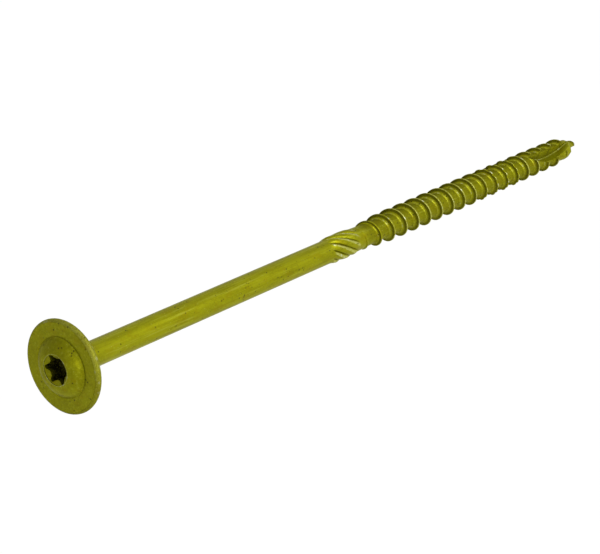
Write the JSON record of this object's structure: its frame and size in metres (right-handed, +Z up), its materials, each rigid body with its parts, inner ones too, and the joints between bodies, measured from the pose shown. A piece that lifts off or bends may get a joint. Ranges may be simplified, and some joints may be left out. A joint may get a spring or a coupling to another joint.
{
  "type": "construction screw",
  "caption": "Long wood construction screw with a round washer head, six-lobe socket, plain shank, milling ribs, coarse thread and fluted cut point, lying on its side.",
  "frame": {"origin": "middle of the lying screw's footprint, on the surface it rests on", "axes": "+Z up; +X along the screw from head to point, which dips 2.06 degrees below +X"},
  "size_m": [0.2034, 0.021, 0.021],
  "materials": {
    "coating": "satin yellow-olive passivated coating over steel"
  },
  "bodies": {
    "root": {"screw": "coating"}
  },
  "joints": []
}
